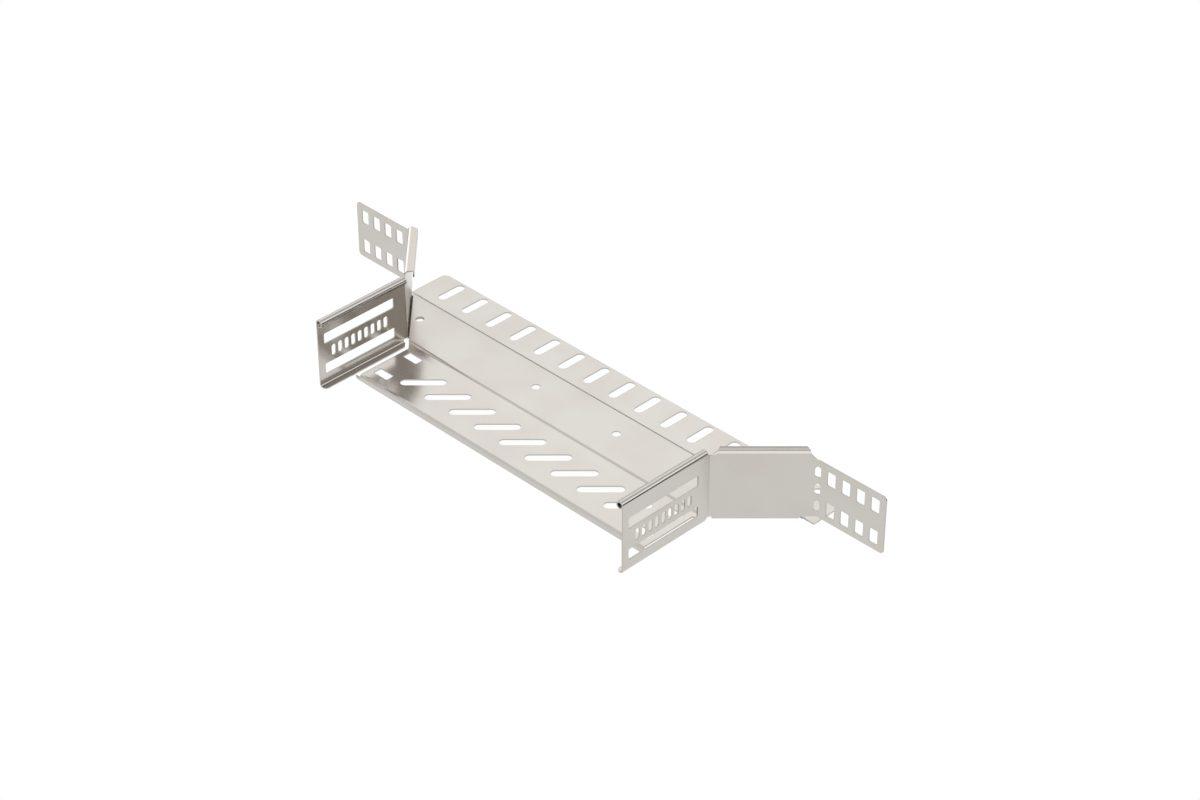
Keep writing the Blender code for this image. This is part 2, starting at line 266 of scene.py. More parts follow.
# %% Find the boundary
def boundary(points, faces):
    """Boundary edges, inside to their left, and the mitre that points out at each end's point.

    With unit normals n1 and n2 of the two edges that meet, the mitre is (n1 + n2) / (1 + n1.n2).
    """
    ends = np.concatenate([faces[:, [0, 1]], faces[:, [1, 2]], faces[:, [2, 0]]])
    keys = ends[:, 0] * len(points) + ends[:, 1]
    edges = ends[~np.isin(keys, ends[:, 1] * len(points) + ends[:, 0])]
    way = points[edges[:, 1]] - points[edges[:, 0]]
    normal = np.column_stack((way[:, 1], -way[:, 0])) / np.linalg.norm(way, axis=1)[:, None]
    first, second = np.zeros_like(points), np.zeros_like(points)
    first[edges[:, 0]] = normal
    second[edges[:, 1]] = normal
    return edges, (first + second) / (1 + (first * second).sum(1))[:, None]


print("a washer has", len(boundary(*washer)[0]), "edges round it and its hole")

# %% [markdown]
# The blank then becomes a solid. Solidify and Bevel could do it, but a bevel on thin sheet stumbles
# where two rims come close. Both faces are the same triangles, half a sheet's thickness to either
# side of the fold's middle surface. A punch rolls the edge that it enters over and leaves the other
# one sharper, so the rim is a profile of two arcs, carried along every boundary at once.

# %% The rim's profile
ROLLED_EDGE = 0.16 * MM
SHARP_EDGE = 0.07 * MM
ROWS_PER_ARC = 4


def rim_profile():
    """Rows from one face to the other: depth inside the outline, height, the normal's turn, side.

    After a turn t, an arc of radius r lies r (1 - sin t) inside and r (1 - cos t) below the face.
    """
    rows = []
    for radius, side in ((ROLLED_EDGE, 1), (SHARP_EDGE, -1)):
        for turn in np.linspace(0, pi / 2, ROWS_PER_ARC)[::side]:
            depth, height = radius * (1 - sin(turn)), HALF - radius * (1 - cos(turn))
            rows.append((depth, side * height, turn, side))
    return rows


print("rows across a rim:", len(rim_profile()))

# %% [markdown]
# A mesh is a handful of long arrays, so they are handed over whole. The normals come with them, so
# the flats stay flat in the light and only the arcs are shaded.

# %% Whole arrays into a mesh
def made_piece(name, points, loops, sizes, normals, uvs, rims):
    """Puts whole arrays into a mesh: points, faces, normals, the blank as its UV map, and the rim."""
    mesh = bpy.data.meshes.new(name)
    mesh.vertices.add(len(points))
    mesh.vertices.foreach_set("co", points.astype(np.float32).ravel())
    mesh.loops.add(len(loops))
    mesh.loops.foreach_set("vertex_index", loops.astype(np.int32))
    mesh.polygons.add(len(sizes))
    starts = np.concatenate([[0], np.cumsum(sizes)[:-1]])
    mesh.polygons.foreach_set("loop_start", starts.astype(np.int32))
    mesh.update(calc_edges=True)
    mesh.polygons.foreach_set("use_smooth", np.ones(len(sizes), bool))
    mesh.uv_layers.new(name="blank").data.foreach_set("uv", uvs[loops].astype(np.float32).ravel())
    mesh.attributes.new("rim", "FLOAT", "POINT").data.foreach_set("value", rims.astype(np.float32))
    mesh.normals_split_custom_set_from_vertices(normals)
    piece = bpy.data.objects.new(name, mesh)
    scene.collection.objects.link(piece)
    return piece


# %% [markdown]
# All comes together here. The first and the last row of the rim are whole faces, the rows between
# are only the boundary's points, and each row is folded at its own height in the sheet.

# %% Fold a blank into a solid
TINY = 1e-12


def sheet_mesh(name, outline, holes, lines, fold, rolled_side=1):
    """A folded solid: a point at height h lies h along the normal from its place on the fold."""
    flat, faces = filled(outline, holes, lines)
    edges, mitre = boundary(flat, faces)
    rim = edges[:, 0]
    place = np.full(len(flat), -1)
    place[rim] = np.arange(len(rim))
    rows = rim_profile()
    points, normals, uvs, rims, polygons, layers = [], [], [], [], [], []
    total = 0
    for index, (depth, height, turn, side) in enumerate(rows):
        face_row = index in (0, len(rows) - 1)
        chosen = np.arange(len(flat)) if face_row else rim
        where = flat[chosen] - mitre[chosen] * depth
        centre, along, across, normal = fold(where[:, 0], where[:, 1])
        out = along * mitre[chosen, :1] + across * mitre[chosen, 1:]
        out /= np.maximum(np.linalg.norm(out, axis=1), TINY)[:, None]
        upright = normal * (side * rolled_side)
        points.append(centre + normal * (height * rolled_side))
        normals.append(upright if face_row else upright * cos(turn) + out * sin(turn))
        uvs.append(where)
        rims.append(np.full(len(chosen), float(not face_row)))
        layers.append((edges if face_row else place[edges]) + total)
        if face_row:
            polygons.append((faces if side * rolled_side > 0 else faces[:, ::-1]) + total)
        total += len(chosen)
    quads = [np.column_stack((upper, lower[:, ::-1])) if rolled_side < 0 else
             np.column_stack((upper[:, ::-1], lower)) for upper, lower in zip(layers, layers[1:])]
    loops = np.concatenate([np.vstack(polygons).ravel(), np.vstack(quads).ravel()])
    sizes = np.repeat([3, 4], [sum(len(p) for p in polygons), sum(len(q) for q in quads)])
    return made_piece(name, np.vstack(points), loops, sizes, np.vstack(normals), np.vstack(uvs),
                      np.concatenate(rims))


print("strips of faces between the two sides:", len(rim_profile()) - 1)

# %% [markdown]
# ## The floor sheet
# From the front: a lip that stands on the tray's plane, a slotted strip, a small step up to the
# middle, a ramp down, and the rear strip that is bolted to the main tray. It could be extruded from
# its section and cut afterwards, but punched flat its corners come out right on the slopes too. All
# its folds run along X, so the blank's first coordinate is X itself, and the second is the distance
# along the profile.

# %% The floor's profile
FRONT_SETBACK, STEP_SETBACK = 9.5 * MM, 1.0 * MM
FRONT_SHARE = 0.65
FRONT_HALF_WIDTH = BRANCH_WIDTH / 2 - FRONT_SETBACK
LIP_Y = -CORNER_DEPTH - FRONT_SHARE * (FRONT_REACH - CORNER_DEPTH)
STEP_Y = -CORNER_DEPTH - STEP_SETBACK
EIGHTH = radians(45)
front_level = FLANGE_TOP - HALF
step_flat = (SHEET + SEAM_GAP - 2 * STEP_BEND * (1 - cos(EIGHTH))) / sin(EIGHTH)
step_reach = STEP_BEND * sin(EIGHTH) + step_flat * cos(EIGHTH) / 2
ramp_start = -BRANCH_RISE - SHEET - (HALF + BEND) * tan(EIGHTH / 2)
ramp_flat = (BRANCH_RISE - 2 * BEND * (1 - cos(EIGHTH))) / sin(EIGHTH)
ramp_end = ramp_start + 2 * BEND * sin(EIGHTH) + ramp_flat * cos(EIGHTH)
front_start = LIP_Y + HALF + BEND
lip_height = front_level - BEND
floor_chain = [
    (lip_height, None), bend(-pi / 2, BEND), (STEP_Y - step_reach - front_start, None),
    bend(EIGHTH, STEP_BEND), (step_flat, None), bend(-EIGHTH, STEP_BEND),
    (ramp_start - STEP_Y - step_reach, None),
    bend(-EIGHTH, BEND), (ramp_flat, None), bend(EIGHTH, BEND), (REAR_REACH - ramp_end, None)]
marks = np.cumsum([0] + [length for length, _ in floor_chain])
lip_end, step_at, step_back, middle_at, ramp_at, ramp_back, rear_at = marks[[1, 3, 5, 6, 7, 9, 10]]


def fold_floor(x, distance):
    """Position, the two directions and the normal: the profile starts upwards at the lip's foot."""
    up, back, heading = walk(floor_chain, distance)
    zero, one = np.zeros_like(x), np.ones_like(x)
    centre = np.column_stack((x, WING_Y + LIP_Y + HALF - back, up))
    across = np.column_stack((zero, -np.sin(heading), np.cos(heading)))
    normal = np.column_stack((zero, -np.cos(heading), -np.sin(heading)))
    return centre, np.column_stack((one, zero, zero)), across, normal


print(f"the floor's blank is {marks[-1] / MM:.1f} mm deep before folding")

# %% [markdown]
# Openings are known by where they lie on the finished part. The fold gives Y from the distance, and
# the blank needs the opposite, so a fine table of the fold is read backwards.

# %% From a place to the blank
FOLD_SAMPLES = 4000


def floor_at(y):
    """Distance along the profile of a place behind the lip, given by its Y: read off the fold."""
    steps = np.linspace(lip_end, marks[-1], FOLD_SAMPLES)
    return np.interp(y, fold_floor(steps, steps)[0][:, 1] - WING_Y, steps)


print(f"the wings' plane lies {floor_at(0.0) / MM:.1f} mm along the floor's profile")

# %% [markdown]
# The floor's corners are cut along the corner plates, at 45 degrees in plan. On the step that cut
# isn't a straight line of the blank, so it is read off the fold: half the width grows with Y.

# %% The floor's blank
RELIEF = 0.5 * MM
LIP_EAR, LIP_EAR_DROP = 4.5 * MM, 0.3 * MM
REAR_SETBACK, MITRE_INSET = 1.0 * MM, 2.1 * MM
REAR_HALF_WIDTH = PLATE_PLANE - REAR_SETBACK
MITRE_EDGE = PLATE_PLANE - MITRE_INSET * sqrt(2)
EAR_Y = -0.7 * MM
LIP_CORNER, EAR_CORNER, REAR_CORNER = 2 * MM, 0.6 * MM, 5 * MM
STEP_POINTS = 13


def floor_outline():
    """Right half of the blank from the lip's foot to the rear edge, then the same mirrored."""
    lip_ear = FRONT_HALF_WIDTH + LIP_EAR
    lip_drop = lip_end - LIP_EAR_DROP
    foot = rounded((0, 0), (lip_ear, 0), (lip_ear, lip_drop), LIP_CORNER)
    relief = [(lip_ear, lip_drop), (FRONT_HALF_WIDTH + RELIEF, lip_drop),
              (FRONT_HALF_WIDTH + RELIEF, lip_end - RELIEF), (FRONT_HALF_WIDTH, lip_end - RELIEF)]
    corner = float(floor_at(FRONT_HALF_WIDTH - MITRE_EDGE))
    on_step = np.linspace(step_at, middle_at, STEP_POINTS)
    distance = np.unique(np.concatenate([[corner], on_step, [ramp_at]]))
    y = fold_floor(distance, distance)[0][:, 1] - WING_Y
    mitre = np.column_stack((MITRE_EDGE + y, distance))
    middle_half, end = mitre[-1, 0], marks[-1]
    ear = float(floor_at(EAR_Y))
    neck = [(middle_half, rear_at + RELIEF), (middle_half + RELIEF, rear_at + RELIEF),
            (middle_half + RELIEF, ear)]
    shoulder = rounded(neck[-1], (REAR_HALF_WIDTH, ear), (REAR_HALF_WIDTH, end), EAR_CORNER)
    rear = rounded((REAR_HALF_WIDTH, ear), (REAR_HALF_WIDTH, end), (0, end), REAR_CORNER)
    right = np.vstack((foot, relief, mitre, neck, shoulder, rear))
    return np.vstack((right, right[::-1] * (-1, 1)))


print("points round the floor's blank:", len(floor_outline()))

# %% [markdown]
# The rear strip's slots run along Y, so that bolts find the holes of any main tray. The branch's
# slots slant. Each is one punch, moved along a row with the pitch that the trays have too. Two
# windows at either end and four bolt holes complete the sheet.

# %% The floor's openings
PITCH = 25.0 * MM
SLOT_WIDTH = 7.0 * MM
REAR_SLOT_LENGTH = 23.5 * MM
REAR_SLOT_Y = REAR_REACH - 14.0 * MM
REAR_SLOT_MARGIN = 15.0 * MM
BRANCH_SLOT_SPAN = 0.484 * (STEP_Y - LIP_Y)
BRANCH_SLOT_Y = LIP_Y + 0.491 * (STEP_Y - LIP_Y)
WINDOW = (13.4 * MM, 6.9 * MM, 0.5 * MM)  # width, depth and corner radius
WINDOW_X = FRONT_HALF_WIDTH - 11.3 * MM
WINDOW_YS = (STEP_Y - 11.3 * MM, LIP_Y + 12.5 * MM)
BOLT_HOLE = 6.3 * MM
BOLT_HOLE_Y = -CORNER_DEPTH + 23.3 * MM
BOLT_HOLE_X = PLATE_PLANE + BOLT_HOLE_Y - 8.5 * MM * sqrt(2)
INNER_BOLT_HOLE_X = 39.4 * MM


def floor_holes():
    """Every slot is one outline, moved to its place along the row."""
    rear_slot = turned(slot(REAR_SLOT_LENGTH, SLOT_WIDTH), pi / 2)
    branch_length = (BRANCH_SLOT_SPAN - SLOT_WIDTH) * sqrt(2) + SLOT_WIDTH
    branch_slot = turned(slot(branch_length, SLOT_WIDTH), pi / 4)
    window = rectangle(*WINDOW)
    rear_count = 2 * int((REAR_HALF_WIDTH - REAR_SLOT_MARGIN) / PITCH) + 1
    room = WINDOW_X - WINDOW[0] / 2 - BRANCH_SLOT_SPAN / 2 - 2 * SHEET
    branch_count = 2 * int(room / PITCH) + 1
    holes = [rear_slot + (x, floor_at(REAR_SLOT_Y)) for x in row(rear_count, PITCH)]
    holes += [branch_slot + (x, floor_at(BRANCH_SLOT_Y)) for x in row(branch_count, PITCH)]
    holes += [window + (x, floor_at(y)) for x in (-WINDOW_X, WINDOW_X) for y in WINDOW_YS]
    holes += [disc(BOLT_HOLE) + (x * hand, floor_at(BOLT_HOLE_Y))
              for x in (INNER_BOLT_HOLE_X, BOLT_HOLE_X) for hand in (-1, 1)]
    return holes


print("openings in the floor:", len(floor_holes()))

# %% [markdown]
# The triangulation gets one line for each crease, drawn well past both ends of the sheet. Then the
# blank is filled, given its rim and folded in one call.

# %% Fold the floor sheet
wide = 2 * PLATE_PLANE
floor_rows = np.concatenate([
    creases(lip_end, pi / 2, BEND),
    creases(step_at, EIGHTH, STEP_BEND), creases(step_back, EIGHTH, STEP_BEND),
    creases(ramp_at, EIGHTH, BEND), creases(ramp_back, EIGHTH, BEND)])
floor_lines = [((-wide, distance), (wide, distance)) for distance in floor_rows]
floor_piece = sheet_mesh("floor_sheet", floor_outline(), floor_holes(), floor_lines, fold_floor)
print("floor sheet:", len(floor_piece.data.polygons), "faces")

# %% [markdown]
# ## The side sheets
# Wall, corner plate and wing are one blank. Two upright folds of 45 degrees turn it round the
# corner. Across them run the folds that stiffen its edges: the wall's top is rolled into a bead,
# the plate's top is hooked over, and below both a flange turns in. Flat pieces set side by side
# would leave seams where the real sheet runs on. Upright and level folds never meet on the blank,
# so one can be stacked on the other: first the plan, then the folds across it.

# %% The side sheet's plan
MITRE = HALF * tan(EIGHTH / 2)
TANGENT = BEND * tan(EIGHTH / 2)
PLATE_LENGTH = (CORNER_DEPTH + HALF - MITRE) * sqrt(2)
WALL_LENGTH = FRONT_REACH - CORNER_DEPTH + MITRE
plan_chain = [(WALL_LENGTH - TANGENT, None), bend(EIGHTH, BEND), (PLATE_LENGTH - 2 * TANGENT, None),
              bend(EIGHTH, BEND), (WING_LENGTH + MITRE - TANGENT, None)]
plan_marks = np.cumsum([length for length, _ in plan_chain])
wall_end, plate_start, plate_end, wing_start, side_end = plan_marks
print(f"a side sheet's blank is {side_end / MM:.1f} mm long")

# %% [markdown]
# The folds across it are short profiles of their own: the bead is one long bend, the hook two bends
# with a flat between them, and each flange a right angle.

# %% Bead, hook and flanges in section
BEAD_DIAMETER = 6.0 * MM
BEAD_TURN = radians(285)
bead_radius = (BEAD_DIAMETER - SHEET) / 2
bead_start = SIDE_TOP - BEAD_DIAMETER / 2
bead_chain = [bend(BEAD_TURN, bead_radius)]

HOOK_DROP, HOOK_WIDTH, HOOK_LIP = 1.0 * MM, 7.1 * MM, 5.4 * MM
HOOK_ANGLE = radians(98)
HOOK_BEND, HOOK_LIP_BEND = 1.6 * MM + HALF, 0.4 * MM + HALF
hook_start = SIDE_TOP - HOOK_DROP - HALF - HOOK_BEND
hook_chain = [bend(HOOK_ANGLE, HOOK_BEND), (HOOK_WIDTH - SHEET - HOOK_BEND - HOOK_LIP_BEND, None),
              bend(pi - HOOK_ANGLE, HOOK_LIP_BEND), (HOOK_LIP - HALF - HOOK_LIP_BEND, None)]

WALL_FLANGE, SEAM_FLANGE = 6.0 * MM, 14.0 * MM
wall_flange_chain = [bend(pi / 2, BEND), (WALL_FLANGE - HALF - BEND, None)]
seam_chain = [bend(pi / 2, BEND), (SEAM_FLANGE - HALF - BEND, None)]
print(f"{bead_chain[0][0] / MM:.1f} mm of its height roll up into the bead")

# %% [markdown]
# The two walks are joined: the plan says where a point's foot is and which way is out, and the
# level fold then lifts the point and draws it inwards.

# %% Both folds in one
def fold_side(hand):
    """The fold of one side sheet; hand is 1 towards +X.

    The plan gives a foot, a heading h and the outward way n = (cos h, -sin h). A level fold that has
    turned by b moves the sheet inwards along -n, and its normal becomes n cos b + z sin b.
    """

    def fold(along, up):
        """Position, the two directions and the normal: the plan's walk, then the level fold's."""
        forward, out, heading = walk(plan_chain, along)
        on_wall = along < (wall_end + plate_start) / 2
        top = np.where(on_wall, bead_start, hook_start)
        rises = walk(bead_chain, up - bead_start), walk(hook_chain, up - hook_start)
        falls = walk(wall_flange_chain, BEND_START - up), walk(seam_chain, BEND_START - up)
        rise = [np.where(on_wall, *pair) for pair in zip(*rises)]
        fall = [np.where(on_wall, *pair) for pair in zip(*falls)]
        level = np.clip(up, BEND_START, top) + rise[0] - fall[0]
        inwards, turn = rise[1] + fall[1], rise[2] - fall[2]
        zero = np.zeros_like(along)
        way = np.column_stack((hand * np.sin(heading), np.cos(heading), zero))
        outward = np.column_stack((hand * np.cos(heading), -np.sin(heading), zero))
        foot = np.column_stack((hand * (BRANCH_WIDTH / 2 - HALF + out),
                                WING_Y - CORNER_DEPTH + MITRE - WALL_LENGTH + forward, level))
        upright = np.array([0, 0, 1.0])
        across = upright * np.cos(turn)[:, None] - outward * np.sin(turn)[:, None]
        normal = outward * np.cos(turn)[:, None] + upright * np.sin(turn)[:, None]
        return foot - outward * inwards[:, None], way, across, hand * normal

    return fold


wall_middle = fold_side(1)(np.array([wall_end / 2]), np.array([SIDE_TOP / 2]))[0][0]
print("the middle of the right wall, in mm:", np.round(wall_middle / MM, 1))

# %% [markdown]
# The flanges below the blank end in slants, so that they clear each other and the wing once they
# are folded. A straight slant in plan is a curve on the blank as long as the bend lasts, because
# the sheet gains little reach at first. The hook's two ends slant in the same way.

# %% The side sheet's flanges and hook
WALL_FLANGE_SETBACK = 3.4 * MM
SEAM_SETBACKS, SEAM_SLANT = (1.8 * MM, 11.0 * MM), 1.2
HOOK_SETBACKS, HOOK_SLANT = (4.0 * MM, 5.2 * MM), 0.4
FLANGE_CORNER = 3.0 * MM
SEAM_POINTS, HOOK_POINTS = 7, 14
wall_foot = wall_end + TANGENT
plate_foot = plate_start - TANGENT
plate_far = plate_foot + PLATE_LENGTH
flange_foot = BEND_START - BEND * pi / 2
wall_flange_end = wall_foot - WALL_FLANGE_SETBACK
seam_start, seam_end = plate_foot + SEAM_SETBACKS[0], plate_far - SEAM_SETBACKS[1]


def wall_flange():
    """The flange below the wall: square in front, and cut at 45 degrees towards the fold."""
    width = wall_flange_chain[1][0]
    low = flange_foot - width
    ends = [(0, BEND_START), (0, low), (wall_flange_end - width, low), (wall_flange_end, flange_foot)]
    return np.vstack((rounded(*ends[:3], FLANGE_CORNER), rounded(*ends[1:], FLANGE_CORNER),
                      [ends[3], (wall_flange_end, BEND_START)]))


def seam_flange():
    """The flange under the floor. Its rear end slants by a share of the reach, r (1 - cos turn)."""
    width = seam_chain[1][0]
    turn = np.linspace(pi / 2, 0, SEAM_POINTS)
    slant = SEAM_SLANT * BEND * (1 - np.cos(turn))
    rear = np.column_stack((seam_end - slant, BEND_START - BEND * turn))
    ends = [(seam_start, BEND_START), (seam_start, flange_foot - width),
            rear[0] - (SEAM_SLANT * width, width), rear[0]]
    return np.vstack((ends[:1], rounded(*ends[:3], FLANGE_CORNER),
                      rounded(*ends[1:], FLANGE_CORNER), rear))


def hook():
    """The plate's hooked top, from the foot of its rear end round to the foot of its front end."""
    turn = np.linspace(0, HOOK_ANGLE, HOOK_POINTS)
    rolled, flat, lip_bend, lip = (length for length, _ in hook_chain)
    up = hook_start + np.append(HOOK_BEND * turn, np.cumsum([rolled + flat, lip_bend + lip]))
    reach = HOOK_BEND * (1 - np.cos(turn))
    slant = HOOK_SLANT * np.append(reach, [reach[-1] + flat] * 2)
    rear = np.column_stack((plate_far - HOOK_SETBACKS[1] - slant, up))
    front = np.column_stack((plate_foot + HOOK_SETBACKS[0] + slant, up))
    return np.vstack((rear, front[::-1]))


print(f"the seam flange is {(seam_end - seam_start) / MM:.1f} mm long at its foot")

# %% [markdown]
# The rest of the outline is straight. Between the bead and the hook a notch goes down below both,
# because two level folds can't run on across the upright one.

# %% The side sheet's outline
NOTCH_DEPTH, BEAD_SETBACK = 4.0 * MM, 2.5 * MM
NOTCH_LEVEL = SIDE_TOP - NOTCH_DEPTH
WING_CORNER = 3.0 * MM


def side_outline():
    """The blank from the wall's lower front corner, counterclockwise."""
    relief = WING_BOTTOM - BEND_START
    wing = [(wing_start, WING_BOTTOM), (side_end, WING_BOTTOM),
            (side_end, WING_TOP), (wing_start, WING_TOP)]
    bead_end, bead_top = wall_foot - BEAD_SETBACK, bead_start + bead_chain[0][0]
    return np.vstack((
        wall_flange(), [(wall_flange_end + relief, WING_BOTTOM), (plate_start, WING_BOTTOM)],
        seam_flange(), [(seam_end + relief, WING_BOTTOM)],
        rounded(*wing[:3], WING_CORNER), rounded(*wing[1:], WING_CORNER), [(plate_end, WING_TOP)],
        hook(), [(plate_start, NOTCH_LEVEL), (wall_end, NOTCH_LEVEL)],
        [(bead_end, bead_start), (bead_end, bead_top), (0, bead_top)]))


print("points round a side sheet's blank:", len(side_outline()))

# %% [markdown]
# The wall has two long slots, so that the branch tray can be bolted anywhere along them, and a comb
# of short ones between. The wing has columns of holes for the main tray.

# %% Openings in wall and wing
LOW_ROW = WING_BOTTOM + 0.221 * WING_HEIGHT
HIGH_ROW = WING_TOP - 0.232 * WING_HEIGHT
HALF_WAY = (LOW_ROW + HIGH_ROW) / 2
LONG_SLOT_HEIGHT, LONG_SLOT_CORNER = 8.3 * MM, 1.0 * MM
LONG_SLOT_FRONT, LONG_SLOT_REAR = 5.5 * MM, 11.2 * MM
COMB_PITCH, COMB_SLOT_WIDTH, COMB_SHARE = 6.0 * MM, 3.7 * MM, 0.54
WING_HOLE = (7.0 * MM, 11.0 * MM, 0.8 * MM)  # width, height and corner radius
WING_HOLE_START, WING_HOLE_PITCH = 11.1 * MM, 12.4 * MM


def wall_holes():
    """Two long slots, and between them a comb whose slots take a share of the room."""
    length = FRONT_REACH - CORNER_DEPTH - LONG_SLOT_FRONT - LONG_SLOT_REAR
    middle = LONG_SLOT_FRONT + length / 2
    long_slot = rectangle(length, LONG_SLOT_HEIGHT, LONG_SLOT_CORNER)
    holes = [long_slot + (middle, level) for level in (LOW_ROW, HIGH_ROW)]
    comb_height = COMB_SHARE * (HIGH_ROW - LOW_ROW - LONG_SLOT_HEIGHT)
    comb_slot = turned(slot(comb_height, COMB_SLOT_WIDTH), pi / 2)
    shifts = row(int(length / COMB_PITCH) - 1, COMB_PITCH)
    return holes + [comb_slot + (middle + shift, HALF_WAY) for shift in shifts]


def wing_holes():
    """Columns of two holes, as many as the wing has room for."""
    first = wing_start - TANGENT + MITRE + WING_HOLE_START
    room = WING_LENGTH - WING_HOLE_START - WING_HOLE[0] / 2 - 2 * SHEET
    columns = first + np.arange(int(room / WING_HOLE_PITCH) + 1) * WING_HOLE_PITCH
    wing_hole = rectangle(*WING_HOLE)
    return [wing_hole + (along, level) for along in columns for level in (LOW_ROW, HIGH_ROW)]


print("openings in a wall:", len(wall_holes()), "and in a wing:", len(wing_holes()))

# %% [markdown]
# Three slots lie across the wing's fold and leave less metal there to bend. They are known as they
# look on the folded part, so they are laid out flat first. The bolt hole has to meet the floor's
# own, and is carried over from it.

# %% Slots in the fold, and the bolt hole
FOLD_SLOT, FOLD_SLOT_COUNT, FOLD_SLOT_SHARE = (8.6 * MM, 4.4 * MM), 3, 0.3


def unrolled(reach):
    """Reach across the corner of a fold of 45 degrees, laid out: an arc, then the flat beside it."""
    half_turn = EIGHTH / 2
    arc_reach = BEND * sin(half_turn)
    on_arc = BEND * np.arcsin(np.clip(reach / BEND, -sin(half_turn), sin(half_turn)))
    return on_arc + np.sign(reach) * np.maximum(np.abs(reach) - arc_reach, 0) / cos(half_turn)


def fold_slots():
    """Slots across the wing's fold, one above the other."""
    outline = turned(slot(*FOLD_SLOT), pi / 2)
    outline = np.column_stack((unrolled(outline[:, 0]), outline[:, 1]))
    middle = (plate_end + wing_start) / 2
    shifts = row(FOLD_SLOT_COUNT, FOLD_SLOT_SHARE * WING_HEIGHT)
    return [outline + (middle, HALF_WAY + shift) for shift in shifts]


def bolt_hole():
    """The hole in the seam flange, below the floor's own.

    From the plate's foot it lies (x + y) / sqrt 2 along the plate and (y - x) / sqrt 2 inwards.
    """
    x, y = BOLT_HOLE_X - BRANCH_WIDTH / 2 + HALF, BOLT_HOLE_Y + CORNER_DEPTH - MITRE
    along, inwards = (x + y) / sqrt(2), (y - x) / sqrt(2)
    return disc(BOLT_HOLE) + (plate_foot + along, flange_foot - (inwards - BEND))


print("slots across the wing's fold:", len(fold_slots()))

# %% [markdown]
# The crease lines tell the triangulation where the sheet bends. They run a little past the edges
# that they cross. The left sheet is the right one mirrored: on both the punch came from outside.

# %% Fold both side sheets
FRONT_OVERRUN, FOLD_OVERRUNS = 5.0 * MM, (0.2 * MM, 0.5 * MM)
wall_rows = np.concatenate([creases(bead_start, BEAD_TURN, bead_radius),
                            BEND_START - creases(0, pi / 2, BEND)])
hook_rows = hook_start + np.concatenate([
    creases(0, HOOK_ANGLE, HOOK_BEND),
    creases(hook_chain[0][0] + hook_chain[1][0], pi - HOOK_ANGLE, HOOK_LIP_BEND)])
plate_rows = np.concatenate([hook_rows, BEND_START - creases(0, pi / 2, BEND)])
fold_rows = np.concatenate([creases(wall_end, EIGHTH, BEND), creases(plate_end, EIGHTH, BEND)])
fold_low, fold_high = WING_BOTTOM - FOLD_OVERRUNS[0], NOTCH_LEVEL + FOLD_OVERRUNS[1]
side_lines = [((-FRONT_OVERRUN, up), (wall_end, up)) for up in wall_rows]
side_lines += [((plate_start, up), (plate_end, up)) for up in plate_rows]
side_lines += [((along, fold_low), (along, fold_high)) for along in fold_rows]
side_holes = [*wall_holes(), *wing_holes(), *fold_slots(), bolt_hole()]
side_pieces = {name: sheet_mesh(f"{name}_sheet", side_outline(), side_holes, side_lines,
                                fold_side(hand), hand)
               for name, hand in (("side_left", -1), ("side_right", 1))}
print("each side sheet:", len(side_pieces["side_left"].data.polygons), "faces")

# %% [markdown]
# ## Putting the pieces in the frame
# Each folded sheet stands for the CAD solid of the same part. The three are taken as welded together,
# so all ride on the one body. The boxes are compared, as a check on the folds.

# %% Replace the CAD solids
pieces = {"floor_plate": floor_piece, **side_pieces}


def box_of(piece):
    """The lowest and the highest corner of a piece."""
    points = np.empty(3 * len(piece.data.vertices), np.float32)
    piece.data.vertices.foreach_get("co", points)
    return points.reshape(-1, 3).min(axis=0), points.reshape(-1, 3).max(axis=0)


for node, piece in pieces.items():
    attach(piece, "root")
    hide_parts(node)
    off = np.abs(np.array(box_of(piece)) - np.array(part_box(node))).max()
    print(f"{piece.name}: its box differs from the solid's by {off / MM:.2f} mm at most")

# %% [markdown]
# ## Stainless sheet
# Cold-rolled stainless steel leaves the mill pickled and lightly rolled between polished rolls. The
# eye sees an even, slightly warm grey that mirrors its surroundings softly. Looked at closely it
# isn't even: faint lines run along the rolling direction, and some places are a little duller. A
# picture of steel would repeat and show its seams. Two noises are enough, and they read the blank's
# own coordinates, so the lines follow the sheet round its folds.

# %% Colours and nodes
def linear(hex_colour):
    """A linear colour from an sRGB hex value: ((p + 0.055) / 1.055) ^ 2.4, or p / 12.92 if dark."""
    parts = np.array([int(hex_colour[start:start + 2], 16) for start in (1, 3, 5)]) / 255
    parts = np.where(parts <= 0.04045, parts / 12.92, ((parts + 0.055) / 1.055) ** 2.4)
    return (*parts, 1.0)


def add(tree, kind, settings=None, **inputs):
    """Adds a node. An input is named, or numbered as i0, i1; a socket is linked, a value is set."""
    node = tree.nodes.new(kind)
    for name, value in (settings or {}).items():
        setattr(node, name, value)
    for name, value in inputs.items():
        numbered = name[0] == "i" and name[1:].isdigit()
        socket = node.inputs[int(name[1:]) if numbered else name.replace("_", " ")]
        if isinstance(value, bpy.types.NodeSocket):
            tree.links.new(value, socket)
        else:
            socket.default_value = value
    return node


STEEL = "#C7C3BE"
STEEL_DULL = "#C5C0BA"
CUT_EDGE = "#BAB6AF"
print("steel in linear light:", np.round(linear(STEEL)[:3], 3))

# %% [markdown]
# The rolling lines are really some hundredths of a millimetre apart. They are drawn about a
# millimetre apart and forty-five long, which is as fine as the render can show. They change the
# roughness by a few hundredths and give the face a relief of about a micrometre. The duller places
# are clouds some four centimetres across. Cut edges haven't been rolled, so they are duller too.

